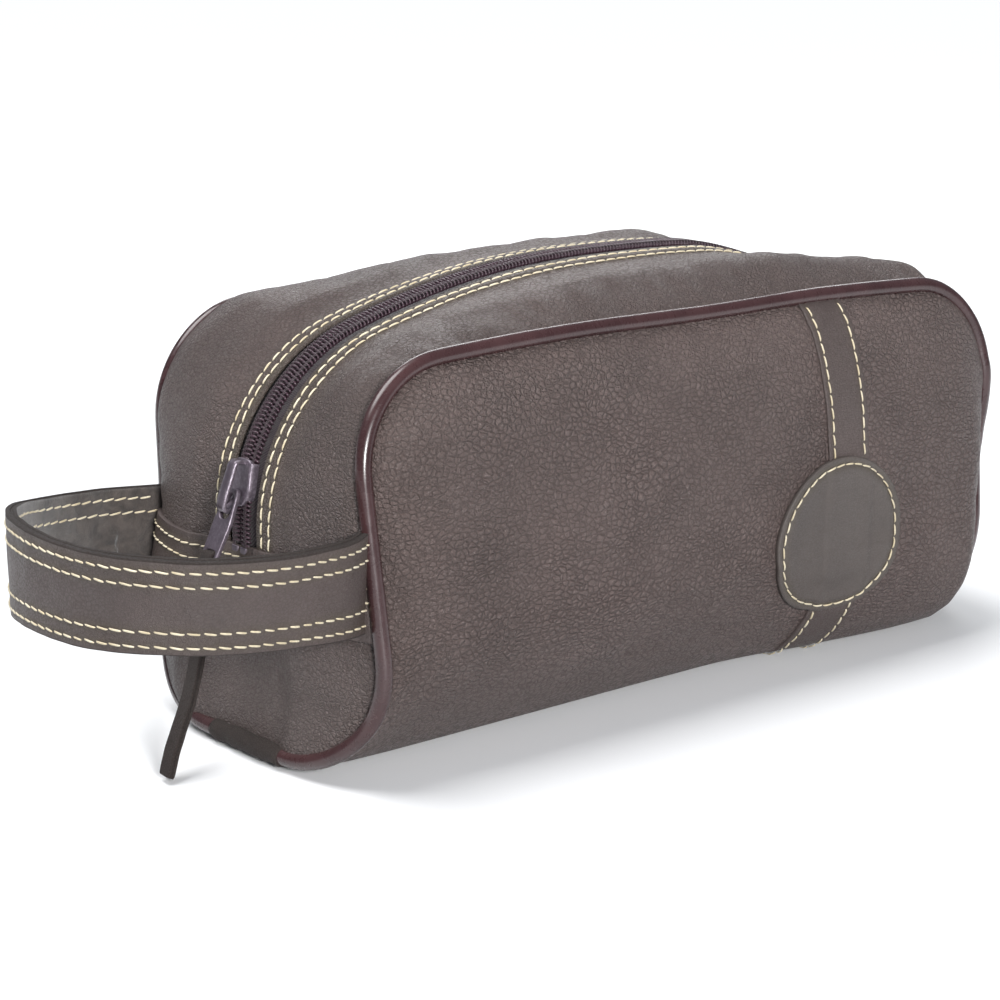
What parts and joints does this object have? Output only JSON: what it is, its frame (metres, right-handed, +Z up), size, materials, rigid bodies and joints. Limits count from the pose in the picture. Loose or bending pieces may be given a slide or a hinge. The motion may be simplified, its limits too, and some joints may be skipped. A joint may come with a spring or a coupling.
{
  "type": "shaving kit bag",
  "caption": "Soft leather shaving kit bag with an arched zip top, piped seams, a trim band with a round patch, and a wrist loop on one end.",
  "frame": {"origin": "on the floor, under the middle of the bag between its two end seams, in the plane of the zip", "axes": "+X along the bag away from the wrist loop, +Y to the back face, +Z up"},
  "size_m": [0.3509, 0.1214, 0.1373],
  "materials": {
    "outer_leather": "pebbled full-grain leather, satin",
    "smooth_leather": "smooth leather, satin",
    "suede": "raw flesh side, matt",
    "strap_core": "bonded leather board, matt",
    "padding": "needle-punched padding",
    "lining": "plain woven cotton lining",
    "binding": "grosgrain binding tape",
    "piping": "glossy coated piping",
    "piping_core": "twisted cotton cord",
    "zip_tape": "herringbone zip tape",
    "zip_coil": "nylon coil",
    "zip_metal": "dark lacquered zinc, semi-gloss"
  },
  "bodies": {
    "bag": {"body_panel": "outer_leather", "gusset_panel": "outer_leather", "padding_body": "padding", "padding_gusset": "padding", "lining_body": "lining", "lining_gusset": "lining", "seam_binding_front": "binding", "seam_binding_back": "binding", "piping_skin": "piping", "piping_cord": "piping_core", "piping_joint_cover": "smooth_leather", "zip_tape_front": "zip_tape", "zip_tape_back": "zip_tape", "zip_coil_front": "zip_coil", "zip_coil_back": "zip_coil", "zip_top_stops": "zip_metal", "zip_bottom_stop": "zip_metal", "end_band_left": "outer_leather", "end_band_right": "outer_leather", "trim_band": "outer_leather", "disc_patch": "smooth_leather", "strap_end_front": "outer_leather", "strap_end_back": "outer_leather"},
    "slider": {"slider_body": "zip_metal", "slider_bridge": "zip_metal"},
    "puller": {"puller_tab": "zip_metal"},
    "thong": {"pull_thong": "smooth_leather"},
    "wrist_loop": {"strap_outer": "outer_leather", "strap_core": "strap_core", "strap_lining": "suede"}
  },
  "joints": [
    {"name": "slider_run", "type": "hinge", "parent": "bag", "child": "slider", "pos_m": [-0.079, 0, 0.06601], "axis": [0, 1, 0], "range_deg": [0, 55]},
    {"name": "puller_swing", "type": "hinge", "parent": "slider", "child": "puller", "pos_m": [-0.13989, 0, 0.07929], "axis": [0, 1, 0], "range_deg": [0, 20]},
    {"name": "thong_swing", "type": "hinge", "parent": "puller", "child": "thong", "pos_m": [-0.14749, 0, 0.0595], "axis": [0, 1, 0], "range_deg": [0, 15]},
    {"name": "wrist_loop_flex", "type": "hinge", "parent": "bag", "child": "wrist_loop", "pos_m": [-0.148, 0, 0.06], "axis": [0, 1, 0], "range_deg": [-15, 35], "stiffness_Nm_per_rad": 0.25}
  ]
}
